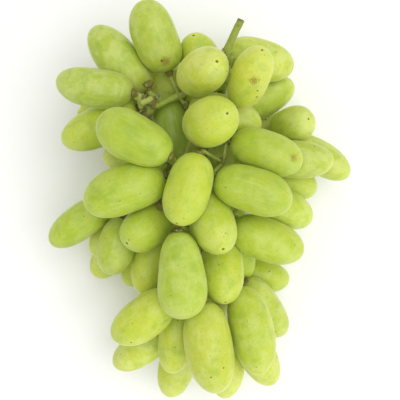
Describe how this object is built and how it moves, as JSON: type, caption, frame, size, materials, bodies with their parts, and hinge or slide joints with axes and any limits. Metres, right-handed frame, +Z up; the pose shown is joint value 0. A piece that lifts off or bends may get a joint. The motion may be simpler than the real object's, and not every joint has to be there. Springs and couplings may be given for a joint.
{
  "type": "bunch of grapes",
  "caption": "Bunch of long green table grapes on a branching stalk, lying on its side, for dressing a table, bowl or kitchen scene.",
  "frame": {"origin": "under the middle of the bunch's bounding box, on the surface that it lies on", "axes": "+Y points to the cut end of the stalk, the tail of the bunch points to -Y, and +Z is up, away from the surface"},
  "size_m": [0.1272, 0.164, 0.0758],
  "materials": {
    "grape_skin": "translucent yellow-green fruit skin with a thin waxy bloom, faint specks and satin gloss",
    "stalk": "green stalk, browner and corky at its joints, matt"
  },
  "bodies": {
    "root": {"left_shoulder_berry_1": "grape_skin", "left_shoulder_berry_2": "grape_skin", "left_shoulder_berry_3": "grape_skin", "left_shoulder_berry_4": "grape_skin", "left_shoulder_berry_5": "grape_skin", "left_shoulder_berry_6": "grape_skin", "left_shoulder_berry_7": "grape_skin", "left_shoulder_berry_8": "grape_skin", "left_shoulder_berry_9": "grape_skin", "crown_berry_1": "grape_skin", "crown_berry_2": "grape_skin", "crown_berry_3": "grape_skin", "crown_berry_4": "grape_skin", "crown_berry_5": "grape_skin", "crown_berry_6": "grape_skin", "crown_berry_7": "grape_skin", "right_shoulder_berry_1": "grape_skin", "right_shoulder_berry_2": "grape_skin", "right_shoulder_berry_3": "grape_skin", "right_shoulder_berry_4": "grape_skin", "right_shoulder_berry_5": "grape_skin", "right_shoulder_berry_6": "grape_skin", "right_shoulder_berry_7": "grape_skin", "middle_berry_1": "grape_skin", "middle_berry_2": "grape_skin", "middle_berry_3": "grape_skin", "middle_berry_4": "grape_skin", "middle_berry_5": "grape_skin", "middle_berry_6": "grape_skin", "middle_berry_7": "grape_skin", "middle_berry_8": "grape_skin", "middle_berry_9": "grape_skin", "heart_berry_1": "grape_skin", "heart_berry_2": "grape_skin", "heart_berry_3": "grape_skin", "heart_berry_4": "grape_skin", "heart_berry_5": "grape_skin", "heart_berry_6": "grape_skin", "heart_berry_7": "grape_skin", "heart_berry_8": "grape_skin", "tail_berry_1": "grape_skin", "tail_berry_2": "grape_skin", "tail_berry_3": "grape_skin", "tail_berry_4": "grape_skin", "tail_berry_5": "grape_skin", "tail_berry_6": "grape_skin", "tail_berry_7": "grape_skin", "tail_berry_8": "grape_skin", "tail_berry_9": "grape_skin", "back_berry_1": "grape_skin", "back_berry_2": "grape_skin", "back_berry_3": "grape_skin", "back_berry_4": "grape_skin", "back_berry_5": "grape_skin", "back_berry_6": "grape_skin", "back_berry_7": "grape_skin", "back_berry_8": "grape_skin", "back_berry_9": "grape_skin", "back_berry_10": "grape_skin", "stalk": "stalk"}
  },
  "joints": []
}
